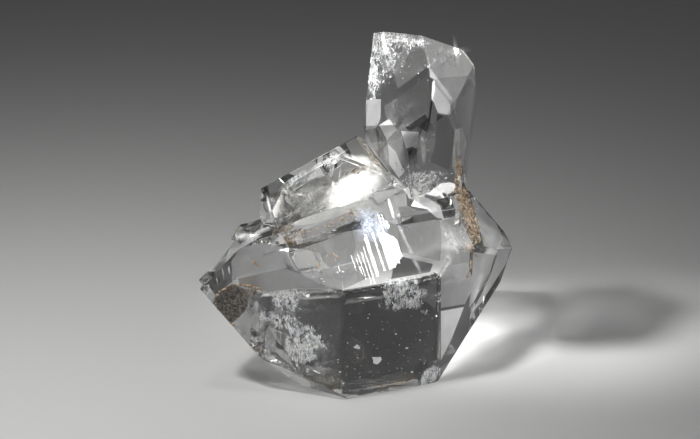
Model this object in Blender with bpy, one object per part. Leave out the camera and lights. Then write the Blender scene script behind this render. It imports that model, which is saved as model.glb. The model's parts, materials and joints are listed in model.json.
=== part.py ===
"""A small cluster of clear, doubly terminated quartz crystals that grew into each other.

Every crystal is a block cut by the flat faces of quartz: six prism faces round its long axis and
six pyramid faces at each end. The crystals are then joined in one solid. Lengths are in millimetres
up to the last step. +X is to the right of the front view, +Y is away from it, +Z is up, and the
origin is under the middle of the cluster, on the surface that it rests on.
"""

import copy
import math

import bmesh
import bpy
from mathutils import Vector

MM = 0.001

OBJECT_NAME = "herkimer_diamond"
SOLID_NAME = "quartz_cluster"

# Quartz: a pyramid face's normal leans this far from the long axis.
PYRAMID_TILT = math.radians(51.79)
SIX = range(6)
BLOCK_SIZE = 80.0
# A cut that misses the block by this much is left out.
SMALLEST_CUT = 1e-6

# Corners closer than this are one corner.
WELD = 0.002

# How far a parallel layer lies inside its crystal where it does not stand proud of it.
STEP_INSET = 0.25

# The cluster's own shift, which puts the origin under the middle of its box.
SHIFT = Vector((-1.03, -1.99, 0.0))

CLEAR_COLOUR = (0.93, 0.94, 0.94, 1.0)
QUARTZ_IOR = 1.544


class Crystal:
    """One individual: where its centre is, how its axis lies and how far each face is from it.

    turn is the axis's heading from +X towards +Y, lift its rise above the table and roll its turn
    about itself, all in degrees. prism, right and left are the distances of the six prism faces
    and of the pyramid faces at the two ends, each round from the one that faces the front. base is
    the height of the flat that it is cut to below.
    """

    def __init__(self, name, centre, turn, lift, roll, prism, right, left):
        self.name = name
        self.centre = Vector(centre)
        self.turn = math.radians(turn)
        self.lift = math.radians(lift)
        self.roll = math.radians(roll)
        self.prism = prism
        self.right = right
        self.left = left
        self.base = 0.0

    def axis(self):
        level = math.cos(self.lift)
        return Vector((math.cos(self.turn) * level, math.sin(self.turn) * level, math.sin(self.lift)))

    def side(self, index):
        """Normal of a prism face. Face 0 faces the front, and the next ones go up and over."""
        front = Vector((math.sin(self.turn), -math.cos(self.turn), 0.0))
        above = front.cross(self.axis())
        angle = self.roll + math.radians(60.0 * index)
        return math.cos(angle) * front + math.sin(angle) * above

    def faces(self):
        """Each face as its normal and its distance from the centre."""
        along = math.cos(PYRAMID_TILT) * self.axis()
        out = math.sin(PYRAMID_TILT)
        for index in SIX:
            yield self.side(index), self.prism[index]
            yield along + out * self.side(index), self.right[index]
            yield -along + out * self.side(index), self.left[index]


def even_crystal(name, centre, turn, lift, roll, width, length):
    """A small regular individual, from its width across the prism and its length tip to tip."""
    tip = 0.5 * length * math.cos(PYRAMID_TILT)
    return Crystal(name, centre, turn, lift, roll, [0.5 * width] * 6, [tip] * 6, [tip] * 6)


def grown_step(parent, name, prism=None, right=None, left=None):
    """A parallel layer on a crystal: a little proud on the faces given, and inside it elsewhere."""

    def moved(distances, changes):
        return [(changes or {}).get(index, distances[index] - STEP_INSET) for index in SIX]

    layer = copy.copy(parent)
    layer.name = name
    layer.prism = moved(parent.prism, prism)
    layer.right = moved(parent.right, right)
    layer.left = moved(parent.left, left)
    layer.base = STEP_INSET
    return layer


# The large crystal that lies across the cluster and rests on the table.
MAIN = Crystal(
    "main", centre=(0.8, 0.0, 5.2), turn=24, lift=0, roll=-3,
    prism=(8.1, 9.3, 10.1, 11.3, 5.2, 9.5),
    right=(9.2, 12.1, 17.2, 14.2, 10.0, 9.4),
    left=(9.6, 13.2, 13.4, 11.0, 6.9, 9.3))

# The crystal that stands on its right, point up and to the left.
TOP = Crystal(
    "top", centre=(6.6, 0.5, 25.7), turn=6, lift=-54, roll=0,
    prism=(6.0, 5.8, 5.3, 4.4, 5.5, 5.2),
    right=(4.3, 4.3, 6.2, 15.2, 11.6, 9.4),
    left=(7.6, 8.9, 5.5, 8.0, 4.5, 5.4))

# The flat-topped crystal that leans up to the right from its left shoulder.
MIDDLE = Crystal(
    "middle", centre=(-3.1, 0.4, 17.45), turn=34, lift=16, roll=-1,
    prism=(2.2, 4.15, 2.7, 8.5, 8.0, 5.0),
    right=(6.5, 4.5, 6.5, 6.5, 9.3, 6.5),
    left=(5.6, 5.9, 7.6, 3.4, 8.5, 6.8))

# Layers that end part of the way along a face and leave a straight ledge there.
STEPS = (
    grown_step(MAIN, "main_upper_layer", prism={0: 8.09, 1: 9.5}, left={1: 5.6}),
    grown_step(TOP, "top_front_layer", prism={0: 6.35}, right={0: 4.95}, left={5: 2.5}),
    grown_step(MIDDLE, "middle_front_layer", prism={0: 2.35}, left={0: 1.4}),
)

# Small individuals, each more than half buried in what it grows on.
SMALL = (
    even_crystal("left_tip", (-12.9, -5.4, 10.5), turn=24, lift=-10, roll=27, width=1.5, length=2.8),
    even_crystal("left_cap", (-8.9, -2.9, 14.3), turn=24, lift=6, roll=27, width=2.0, length=5.0),
    even_crystal("lower_ledge", (-4.4, -4.4, 13.9), turn=34, lift=2, roll=-8, width=2.8, length=8.6),
    even_crystal("upper_ledge", (-1.3, -2.6, 14.5), turn=30, lift=10, roll=5, width=2.4, length=7.2),
    even_crystal("shoulder_plate", (-4.5, -6.6, 12.0), turn=24, lift=0, roll=-3, width=3.4, length=6.4),
    even_crystal("joint_left", (3.3, 2.9, 15.6), turn=34, lift=16, roll=-1, width=3.8, length=8.4),
    even_crystal("joint_plate", (6.5, 1.8, 14.2), turn=24, lift=0, roll=-3, width=4.6, length=11.5),
    even_crystal("joint_back", (8.2, 5.0, 15.2), turn=40, lift=-24, roll=-3, width=5.2, length=10.0),
)


def make_object(name, mesh, collection):
    item = bpy.data.objects.new(name, mesh)
    collection.objects.link(item)
    return item


def cut(mesh, point, normal):
    """Cut off what lies past a plane and close the cut with one flat face."""
    geometry = mesh.verts[:] + mesh.edges[:] + mesh.faces[:]
    result = bmesh.ops.bisect_plane(
        mesh, geom=geometry, dist=SMALLEST_CUT, plane_co=point, plane_no=normal, clear_outer=True)
    rim = [item for item in result["geom_cut"] if isinstance(item, bmesh.types.BMEdge)]
    rim = [edge for edge in rim if edge.is_boundary]
    if rim:
        bmesh.ops.contextual_create(mesh, geom=rim)


def crystal_mesh(crystal):
    mesh = bmesh.new()
    bmesh.ops.create_cube(mesh, size=BLOCK_SIZE)
    bmesh.ops.translate(mesh, verts=mesh.verts, vec=crystal.centre)
    for normal, distance in crystal.faces():
        cut(mesh, crystal.centre + distance * normal, normal)
    cut(mesh, Vector((0.0, 0.0, crystal.base)), Vector((0.0, 0.0, -1.0)))
    bmesh.ops.recalc_face_normals(mesh, faces=mesh.faces)
    data = bpy.data.meshes.new(crystal.name)
    mesh.to_mesh(data)
    mesh.free()
    return data


def joined_mesh(crystals, collection):
    """The crystals united in one closed mesh, in metres, with its origin under its middle."""
    first, others = crystals[0], crystals[1:]
    body = make_object("join_" + first.name, crystal_mesh(first), collection)
    for crystal in others:
        item = make_object("join_" + crystal.name, crystal_mesh(crystal), collection)
        union = body.modifiers.new(crystal.name, "BOOLEAN")
        union.operation = "UNION"
        union.solver = "EXACT"
        union.object = item
    for item in collection.objects:
        item.hide_render = True
        item.display_type = "WIRE"
    data = bpy.data.meshes.new_from_object(body.evaluated_get(bpy.context.evaluated_depsgraph_get()))
    data.name = SOLID_NAME
    mesh = bmesh.new()
    mesh.from_mesh(data)
    bmesh.ops.remove_doubles(mesh, verts=mesh.verts, dist=WELD)
    bmesh.ops.dissolve_degenerate(mesh, edges=mesh.edges, dist=WELD)
    bmesh.ops.translate(mesh, verts=mesh.verts, vec=SHIFT)
    bmesh.ops.scale(mesh, verts=mesh.verts, vec=(MM, MM, MM))
    mesh.to_mesh(data)
    mesh.free()
    return data


def clear_quartz():
    material = bpy.data.materials.new("clear_quartz")
    material.use_nodes = True
    shader = material.node_tree.nodes["Principled BSDF"]
    shader.inputs["Base Color"].default_value = CLEAR_COLOUR
    shader.inputs["Roughness"].default_value = 0.02
    shader.inputs["Metallic"].default_value = 0.0
    shader.inputs["IOR"].default_value = QUARTZ_IOR
    shader.inputs["Transmission Weight"].default_value = 1.0
    return material


def main():
    for item in list(bpy.data.objects):
        bpy.data.objects.remove(item, do_unlink=True)
    scene = bpy.context.scene
    parts = bpy.data.collections.new(OBJECT_NAME)
    joined = bpy.data.collections.new("joined_crystals")
    scene.collection.children.link(parts)
    scene.collection.children.link(joined)

    cluster = make_object(SOLID_NAME, joined_mesh((MAIN, TOP, MIDDLE) + STEPS + SMALL, joined), parts)
    cluster.data.materials.append(clear_quartz())


main()
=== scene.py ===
"""The looks of a small cluster of clear, doubly terminated quartz crystals, on a plain pale table.

The clear solid keeps the frame's own faces. What the frame leaves out is made here: growth lines,
rounded edges and tiny crystals on the faces, veils, cracks and bubbles inside, white sheets and inner
films that paint in highlights, reflections and shade seen through the faces, and the brown clay
left in the seams. A mesh is made in millimetres and put in metres in its last step. +X is to the
right of the front view, +Y is away from it, and +Z is up. Picture points are (across, down) in
pixels of the front view, from its top left corner.
"""

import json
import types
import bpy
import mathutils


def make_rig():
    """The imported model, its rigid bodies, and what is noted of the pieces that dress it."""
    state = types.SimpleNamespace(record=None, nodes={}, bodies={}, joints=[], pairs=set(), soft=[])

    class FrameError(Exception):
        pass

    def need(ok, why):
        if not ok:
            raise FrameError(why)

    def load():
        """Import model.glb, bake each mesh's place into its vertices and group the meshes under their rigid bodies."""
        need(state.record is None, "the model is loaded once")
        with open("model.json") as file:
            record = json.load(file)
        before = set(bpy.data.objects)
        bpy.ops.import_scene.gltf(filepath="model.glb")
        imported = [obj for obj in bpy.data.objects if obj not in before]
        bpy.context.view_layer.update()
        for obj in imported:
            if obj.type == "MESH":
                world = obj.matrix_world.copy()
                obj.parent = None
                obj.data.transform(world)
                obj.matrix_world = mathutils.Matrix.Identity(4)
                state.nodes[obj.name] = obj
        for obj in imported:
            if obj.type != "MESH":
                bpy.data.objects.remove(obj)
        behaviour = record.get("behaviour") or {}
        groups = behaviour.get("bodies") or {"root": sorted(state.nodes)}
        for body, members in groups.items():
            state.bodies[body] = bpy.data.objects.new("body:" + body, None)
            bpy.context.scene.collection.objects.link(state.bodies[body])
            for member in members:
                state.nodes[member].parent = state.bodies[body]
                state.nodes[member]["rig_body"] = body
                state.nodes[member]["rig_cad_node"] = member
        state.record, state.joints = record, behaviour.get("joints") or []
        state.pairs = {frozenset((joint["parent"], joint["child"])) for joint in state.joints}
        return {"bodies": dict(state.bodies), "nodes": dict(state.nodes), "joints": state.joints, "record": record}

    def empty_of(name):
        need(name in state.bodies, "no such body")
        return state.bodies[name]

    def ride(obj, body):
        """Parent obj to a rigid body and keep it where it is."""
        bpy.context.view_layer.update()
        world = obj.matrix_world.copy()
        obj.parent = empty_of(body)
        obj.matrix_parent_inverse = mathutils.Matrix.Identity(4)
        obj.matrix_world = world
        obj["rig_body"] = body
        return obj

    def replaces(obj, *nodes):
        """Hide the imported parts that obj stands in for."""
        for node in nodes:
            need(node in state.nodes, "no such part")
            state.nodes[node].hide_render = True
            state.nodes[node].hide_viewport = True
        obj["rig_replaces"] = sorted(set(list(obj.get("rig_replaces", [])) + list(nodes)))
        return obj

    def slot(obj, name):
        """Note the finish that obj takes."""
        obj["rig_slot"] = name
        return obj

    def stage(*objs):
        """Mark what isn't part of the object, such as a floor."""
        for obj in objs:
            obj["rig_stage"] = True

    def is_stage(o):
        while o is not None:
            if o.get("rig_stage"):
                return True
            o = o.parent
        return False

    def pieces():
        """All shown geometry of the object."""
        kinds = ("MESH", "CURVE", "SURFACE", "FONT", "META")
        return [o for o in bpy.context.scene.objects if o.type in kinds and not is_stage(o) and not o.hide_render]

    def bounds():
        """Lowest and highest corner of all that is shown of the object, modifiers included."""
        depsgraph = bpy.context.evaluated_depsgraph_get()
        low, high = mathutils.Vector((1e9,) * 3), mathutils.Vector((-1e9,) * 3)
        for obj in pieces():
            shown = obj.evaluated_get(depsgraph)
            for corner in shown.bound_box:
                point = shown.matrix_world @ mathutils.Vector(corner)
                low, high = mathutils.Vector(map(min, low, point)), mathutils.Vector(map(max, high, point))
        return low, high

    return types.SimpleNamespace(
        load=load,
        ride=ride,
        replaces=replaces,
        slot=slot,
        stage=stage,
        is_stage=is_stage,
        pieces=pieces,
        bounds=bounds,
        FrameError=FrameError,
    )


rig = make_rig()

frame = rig.load()
CAD_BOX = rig.bounds()

import json
import math
import random

import bmesh
import bpy
from bpy.props import FloatProperty, FloatVectorProperty, PointerProperty
from mathutils import Matrix, Vector, noise
from mathutils.bvhtree import BVHTree

bl_info = {
    "name": "Clear Quartz Cluster",
    "version": (1, 0, 0),
    "blender": (4, 5, 0),
    "location": "3D View > Sidebar > Quartz Cluster",
    "description": "Dresses a cluster of clear quartz crystals with its growth lines, veils and clay",
    "category": "Object",
}

MM = 0.001
NODE = "quartz_cluster"
BODY = "root"

PICTURE = (700, 439)
SENSOR_WIDTH = 36.0

# The frame's triangles that meet closer and flatter than this are joined into whole faces.
WELD = 0.002
FLAT = math.radians(0.1)

# A ray that goes on from a face starts this far past it, and no depth is a larger share of the
# quartz behind the face.
PAST_FACE = 0.01
DEEPEST_SHARE = 0.8

# Any direction that runs along no face, to count how often a line leaves the quartz.
COUNTING_RAY = (0.123, 0.071, 0.99)
COUNTING_STEP = 1e-4


class ViewSettings(bpy.types.PropertyGroup):
    """Where the main view is taken from."""

    tilt: FloatProperty(
        name="Tilt", description="How far the view looks down", default=math.radians(20.0),
        subtype="ANGLE")
    distance: FloatProperty(
        name="Distance", description="From the camera to the point aimed at", default=0.220,
        unit="LENGTH")
    aim: FloatVectorProperty(
        name="Aim", description="The point aimed at", default=(-0.00103, -0.00199, 0.0146),
        subtype="TRANSLATION", precision=5)
    pixel: FloatProperty(
        name="Pixel", description="Width of one picture pixel at the point aimed at",
        default=0.0000952, unit="LENGTH", precision=7)


class StageSettings(bpy.types.PropertyGroup):
    """The table, the lamp and the room."""

    table_colour: FloatVectorProperty(
        name="Table", description="Colour of the table", default=(0.62, 0.62, 0.61), subtype="COLOR")
    room_colour: FloatVectorProperty(
        name="Room", description="Colour of the dim room", default=(0.060, 0.060, 0.062),
        subtype="COLOR")
    lamp_place: FloatVectorProperty(
        name="Lamp", description="Where the lamp hangs", default=(-0.040, -0.030, 0.090),
        subtype="TRANSLATION")
    lamp_target: FloatVectorProperty(
        name="Lamp target", description="Where the lamp points", default=(-0.0360, -0.0192, 0.0),
        subtype="TRANSLATION")
    lamp_spread: FloatProperty(
        name="Lamp spread", description="Whole opening angle of its soft beam",
        default=2.509, subtype="ANGLE")
    lamp_power: FloatProperty(
        name="Lamp power", description="Strength of the lamp, in watts", default=0.255)
    lamp_size: FloatProperty(
        name="Lamp radius", description="Radius of the lamp", default=0.006, unit="LENGTH")


class QuartzSettings(bpy.types.PropertyGroup):
    """The clear solid."""

    ior: FloatProperty(
        name="IOR", description="How strongly quartz bends light", default=1.544)
    tint: FloatVectorProperty(
        name="Tint", description="Colour left after light has gone far through the quartz",
        default=(0.86, 0.87, 0.85), subtype="COLOR")
    depth_density: FloatProperty(
        name="Absorption", description="How much light the quartz takes, for each metre", default=18.0)
    lamp_pass: FloatProperty(
        name="Lamp pass", description="Share of the lamp's light that each face lets straight through",
        default=0.5, subtype="FACTOR")
    edge: FloatProperty(
        name="Edge", description="Width of the bright worn edges, in millimetres", default=0.07)
    line_slope: FloatProperty(
        name="Growth line slope", description="Tilt of the bright side of a growth line",
        default=math.radians(21.5), subtype="ANGLE")


class VeilSettings(bpy.types.PropertyGroup):
    """What is inside the quartz."""

    colour: FloatVectorProperty(
        name="Veil", description="Colour of the veils", default=(0.92, 0.92, 0.90), subtype="COLOR")
    cool: FloatVectorProperty(
        name="Cool flake", description="Colour of the bluish flakes", default=(0.93, 0.96, 1.0),
        subtype="COLOR")
    warm: FloatVectorProperty(
        name="Warm flake", description="Colour of the yellowish flakes", default=(1.0, 0.985, 0.95),
        subtype="COLOR")
    flake: FloatProperty(
        name="Flake", description="Length of a long sliver, in millimetres", default=0.75)
    density: FloatProperty(
        name="Flakes", description="Flakes on each square millimetre of a veil", default=220.0)


class ClaySettings(bpy.types.PropertyGroup):
    """The brown grains in the seams."""

    dark: FloatVectorProperty(
        name="Dark grain", description="Colour of the dark grains", default=(0.20, 0.12, 0.07),
        subtype="COLOR")
    light: FloatVectorProperty(
        name="Light grain", description="Colour of the light grains", default=(0.72, 0.57, 0.40),
        subtype="COLOR")
    grain: FloatProperty(
        name="Grain", description="Width of a large grain, in millimetres", default=0.30)


class ClusterSettings(bpy.types.PropertyGroup):
    """All the values that a user would change."""

    view: PointerProperty(type=ViewSettings)
    stage: PointerProperty(type=StageSettings)
    quartz: PointerProperty(type=QuartzSettings)
    veil: PointerProperty(type=VeilSettings)
    clay: PointerProperty(type=ClaySettings)


def settings():
    return bpy.context.scene.quartz_cluster_settings


# Objects and meshes

def linked(name, data):
    item = bpy.data.objects.new(name, data)
    bpy.context.scene.collection.objects.link(item)
    return item


def removed(item):
    data = item.data
    bpy.data.objects.remove(item)
    if data.users == 0:
        bpy.data.meshes.remove(data)


def as_data(mesh, name="base"):
    """The mesh as mesh data. The mesh is used up."""
    data = bpy.data.meshes.new(name)
    mesh.to_mesh(data)
    mesh.free()
    return data


def from_data(data, mesh=None):
    """The mesh data in a new mesh, or added to a mesh. The data is used up."""
    if mesh is None:
        mesh = bmesh.new()
    mesh.from_mesh(data)
    bpy.data.meshes.remove(data)
    return mesh


def joined(meshes):
    """One mesh from several, in order. They are used up."""
    whole = bmesh.new()
    for mesh in meshes:
        from_data(as_data(mesh), whole)
    return whole


def without_loose(mesh):
    """The mesh without the corners that no face uses."""
    loose = [vert for vert in mesh.verts if not vert.link_faces]
    bmesh.ops.delete(mesh, geom=loose, context="VERTS")
    return mesh


def evaluated_mesh(item):
    """The object's mesh with its modifiers done, as new data."""
    bpy.context.view_layer.update()
    graph = bpy.context.evaluated_depsgraph_get()
    return bpy.data.meshes.new_from_object(item.evaluated_get(graph))


def merged_cluster():
    """The frame's solid as a mesh in millimetres, its loose triangles joined into whole faces."""
    mesh = bmesh.new()
    mesh.from_mesh(frame["nodes"][NODE].data)
    bmesh.ops.scale(mesh, verts=mesh.verts, vec=(1.0 / MM,) * 3)
    bmesh.ops.remove_doubles(mesh, verts=mesh.verts, dist=WELD)
    bmesh.ops.dissolve_limit(mesh, angle_limit=FLAT, verts=mesh.verts, edges=mesh.edges)
    return mesh


def finished(mesh, name, material, slot):
    """A riding piece from a mesh in millimetres."""
    bmesh.ops.scale(mesh, verts=mesh.verts, vec=(MM,) * 3)
    data = as_data(mesh, name)
    data.materials.clear()
    data.materials.append(material)
    piece = linked(name, data)
    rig.ride(piece, BODY)
    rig.slot(piece, slot)
    return piece


# The front view and what it meets

def view_axes():
    """The view's own directions: across its picture, up it and into it."""
    tilt = settings().view.tilt
    across = Vector((1.0, 0.0, 0.0))
    up = Vector((0.0, math.sin(tilt), math.cos(tilt)))
    ahead = Vector((0.0, math.cos(tilt), -math.sin(tilt)))
    return across, up, ahead


def picture_ray(pixel):
    """Start and direction of the view line through a picture point, in millimetres."""
    view = settings().view
    across, up, ahead = view_axes()
    far = view.distance / MM
    start = Vector(view.aim) / MM - far * ahead
    right = (pixel[0] - PICTURE[0] / 2.0) * view.pixel / MM
    rise = (PICTURE[1] / 2.0 - pixel[1]) * view.pixel / MM
    return start, (far * ahead + right * across + rise * up).normalized()


def bent(ray, normal, ratio):
    """A ray's direction after it enters the quartz, or None if it can't pass."""
    cosine = -ray.dot(normal)
    square = 1.0 - ratio * ratio * (1.0 - cosine * cosine)
    if square < 0.0:
        return None
    return (ratio * ray + (ratio * cosine - math.sqrt(square)) * normal).normalized()


class Skin:
    """The clear solid's surface, which answers where a view line meets it."""

    def __init__(self):
        mesh = merged_cluster()
        self.tree = BVHTree.FromBMesh(mesh)
        mesh.free()

    def hit(self, pixel):
        """Point, outward normal and view direction at a picture point."""
        start, ray = picture_ray(pixel)
        point, normal, face, far = self.tree.ray_cast(start, ray)
        if point is None:
            raise ValueError("no quartz at picture point %s" % (pixel,))
        return point, normal, ray

    def inside(self, pixel, depth):
        """The point seen at a picture point, this deep behind the surface."""
        point, normal, ray = self.hit(pixel)
        inward = bent(ray, normal, 1.0 / settings().quartz.ior)
        back, opposite, face, far = self.tree.ray_cast(point + PAST_FACE * inward, inward)
        if back is None:
            raise ValueError("no depth of quartz at picture point %s" % (pixel,))
        return point + min(depth, DEEPEST_SHARE * far) * inward

    def holds(self, point, margin):
        """True if the point is inside the quartz and at least a margin from its surface."""
        near, normal, face, far = self.tree.find_nearest(point)
        if far < margin:
            return False
        crossings = 0
        start = point
        ahead = Vector(COUNTING_RAY).normalized()
        while True:
            place, normal, face, far = self.tree.ray_cast(start, ahead)
            if place is None:
                return crossings % 2 == 1
            crossings += 1
            start = place + COUNTING_STEP * ahead


# Materials

def new_material(name):
    material = bpy.data.materials.new(name)
    material.use_nodes = True
    return material, material.node_tree, material.node_tree.nodes["Principled BSDF"]


def feed(tree, item, inputs):
    """Set a node's inputs, by name or place, each to a value or to the output that feeds it."""
    for name, value in inputs.items():
        if isinstance(value, bpy.types.NodeSocket):
            tree.links.new(value, item.inputs[name])
        else:
            item.inputs[name].default_value = value


def node(tree, kind, inputs=None, **properties):
    """A new node with its properties and its inputs set."""
    item = tree.nodes.new(kind)
    for name, value in properties.items():
        setattr(item, name, value)
    feed(tree, item, inputs or {})
    return item


def product(tree, first, second, clamp=False):
    """The output that is the product of two numbers."""
    item = node(tree, "ShaderNodeMath", {0: first, 1: second}, operation="MULTIPLY", use_clamp=clamp)
    return item.outputs[0]


def new_group(name, kind, inputs, output):
    """A node group and its inputs. inputs are names, kinds and values, output a name and a kind."""
    group = bpy.data.node_groups.new(name, kind)
    for title, sort, value in inputs:
        socket = group.interface.new_socket(title, in_out="INPUT", socket_type="NodeSocket" + sort)
        if value is not None:
            socket.default_value = value
    group.interface.new_socket(output[0], in_out="OUTPUT", socket_type="NodeSocket" + output[1])
    return group, node(group, "NodeGroupInput").outputs


def mask(tree, name, build, inputs):
    """The mask that comes out of a node group. The group is built the first time it is used."""
    group = bpy.data.node_groups.get(name) or build()
    return node(tree, "ShaderNodeGroup", inputs, node_tree=group).outputs["Mask"]


# The faint ripple of the faces.
RIPPLE = {"Scale": 260.0, "Detail": 2.0, "Roughness": 0.5}
RIPPLE_STRENGTH = 0.05
RIPPLE_HEIGHT = 0.0002


def clear_quartz():
    looks = settings().quartz
    material, tree, shader = new_material("clear_quartz")
    place = node(tree, "ShaderNodeTexCoord").outputs["Object"]
    ripple = node(tree, "ShaderNodeTexNoise", {"Vector": place, **RIPPLE})
    bump = node(tree, "ShaderNodeBump", {
        "Height": ripple.outputs["Fac"], "Strength": RIPPLE_STRENGTH, "Distance": RIPPLE_HEIGHT})
    feed(tree, shader, {
        "Base Color": (1.0, 1.0, 1.0, 1.0), "Roughness": 0.0, "IOR": looks.ior,
        "Transmission Weight": 1.0, "Normal": bump.outputs["Normal"]})

    path = node(tree, "ShaderNodeLightPath")
    share = product(tree, path.outputs["Is Shadow Ray"], looks.lamp_pass)
    through = node(tree, "ShaderNodeBsdfTransparent").outputs[0]
    both = node(tree, "ShaderNodeMixShader", {0: share, 1: shader.outputs[0], 2: through})
    depth = node(tree, "ShaderNodeVolumeAbsorption", {
        "Color": (*looks.tint, 1.0), "Density": looks.depth_density})
    feed(tree, tree.nodes["Material Output"], {
        "Surface": both.outputs[0], "Volume": depth.outputs["Volume"]})
    return material


# A wisp fades over this much of its noise.
WISP_RIM = 0.22
WISP_NOISE = {"Detail": 8.0, "Roughness": 0.72, "Distortion": 1.6}


def wisp_group():
    """A mask of feathery wisps and specks, by place on the piece."""
    group, given = new_group("wisps", "ShaderNodeTree", (
        ("Scale", "Float", 900.0),
        ("Clearness", "Float", 0.5),
        ("Stretch", "Vector", (1.0, 1.0, 1.0)),
    ), ("Mask", "Float"))
    place = node(group, "ShaderNodeTexCoord").outputs["Object"]
    drawn = node(group, "ShaderNodeVectorMath", {0: place, 1: given["Stretch"]}, operation="MULTIPLY")
    wisps = node(group, "ShaderNodeTexNoise", {
        "Vector": drawn.outputs["Vector"], "Scale": given["Scale"], **WISP_NOISE})
    top = node(group, "ShaderNodeMath", {0: given["Clearness"], 1: WISP_RIM}, operation="ADD")
    ramp = node(group, "ShaderNodeMapRange", {
        "Value": wisps.outputs["Fac"], "From Min": given["Clearness"], "From Max": top.outputs[0],
    }, interpolation_type="SMOOTHSTEP")
    node(group, "NodeGroupOutput", {"Mask": ramp.outputs["Result"]})
    return group


def patch_group():
    """A mask of patches, by place on the piece, from nought at noise Low to one at noise High."""
    group, given = new_group("patches", "ShaderNodeTree", (
        ("Scale", "Float", 900.0),
        ("Detail", "Float", 3.0),
        ("Low", "Float", 0.4),
        ("High", "Float", 0.6),
    ), ("Mask", "Float"))
    place = node(group, "ShaderNodeTexCoord").outputs["Object"]
    patches = node(group, "ShaderNodeTexNoise", {
        "Vector": place, "Scale": given["Scale"], "Detail": given["Detail"]})
    ramp = node(group, "ShaderNodeMapRange", {
        "Value": patches.outputs["Fac"], "From Min": given["Low"], "From Max": given["High"]})
    node(group, "NodeGroupOutput", {"Mask": ramp.outputs["Result"]})
    return group


def two_tone(tree, colours, scale, detail, low, high):
    """The output that is two colours in patches."""
    patches = mask(tree, "patches", patch_group, {
        "Scale": scale, "Detail": detail, "Low": low, "High": high})
    mix = node(tree, "ShaderNodeMix", {
        0: patches, 6: (*colours[0], 1.0), 7: (*colours[1], 1.0)}, data_type="RGBA")
    return mix.outputs[2]


def cover_output(tree):
    return node(tree, "ShaderNodeAttribute", attribute_name="cover").outputs["Fac"]


# A sheet's patches are this much finer than its wisps.
PATCH_SCALE = 2.2


def sheet_material(name, colours, scale, clearness, roughness, stretch=(1.0, 1.0, 1.0)):
    """A thin cloudy sheet: two colours in patches, and clear where its cover or its wisps end."""
    material, tree, shader = new_material(name)
    wisps = mask(tree, "wisps", wisp_group, {
        "Scale": scale, "Clearness": clearness, "Stretch": stretch})
    feed(tree, shader, {
        "Base Color": two_tone(tree, colours, PATCH_SCALE * scale, 3.0, 0.42, 0.58),
        "Alpha": product(tree, cover_output(tree), wisps, clamp=True),
        "Roughness": roughness})
    return material


def mineral(name, colours, scale, roughness):
    """An opaque material in two colours that change from place to place."""
    material, tree, shader = new_material(name)
    feed(tree, shader, {
        "Base Color": two_tone(tree, colours, scale, 4.0, 0.38, 0.62), "Roughness": roughness})
    return material


# How far the patches dim and brighten a film.
FILM_PATCHES = {"Scale": 900.0, "Detail": 3.0, "Low": 0.0, "High": 1.0}
FILM_UNEVEN = {"To Min": 0.8, "To Max": 1.2}


def painted_light_film_material():
    """Inner films with painted reflections, highlights and shade: brightness and cover come from the mesh, with faint
    patches.
    """
    material, tree, shader = new_material("painted_light_film")
    patches = mask(tree, "patches", patch_group, FILM_PATCHES)
    uneven = node(tree, "ShaderNodeMapRange", {"Value": patches, **FILM_UNEVEN})
    tone = node(tree, "ShaderNodeAttribute", attribute_name="tone")
    bright = product(tree, tone.outputs["Fac"], uneven.outputs["Result"])
    colour = node(tree, "ShaderNodeCombineColor", {"Red": bright, "Green": bright, "Blue": bright})
    feed(tree, shader, {
        "Base Color": colour.outputs[0], "Alpha": cover_output(tree), "Roughness": 0.3})
    return material


# Scattering small shapes

# Shapes stand where the clumps' noise is over the first value, and all of them over the second.
CLUMP_NOISE = {"From Min": 0.44, "From Max": 0.62}
# The higher this power, the fewer of the shapes are large.
RARE_POWER = 2.6
# The least that a shape keeps of its width, depth and length.
LEAST_SHARE = (0.55, 0.55, 0.7)


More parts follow.
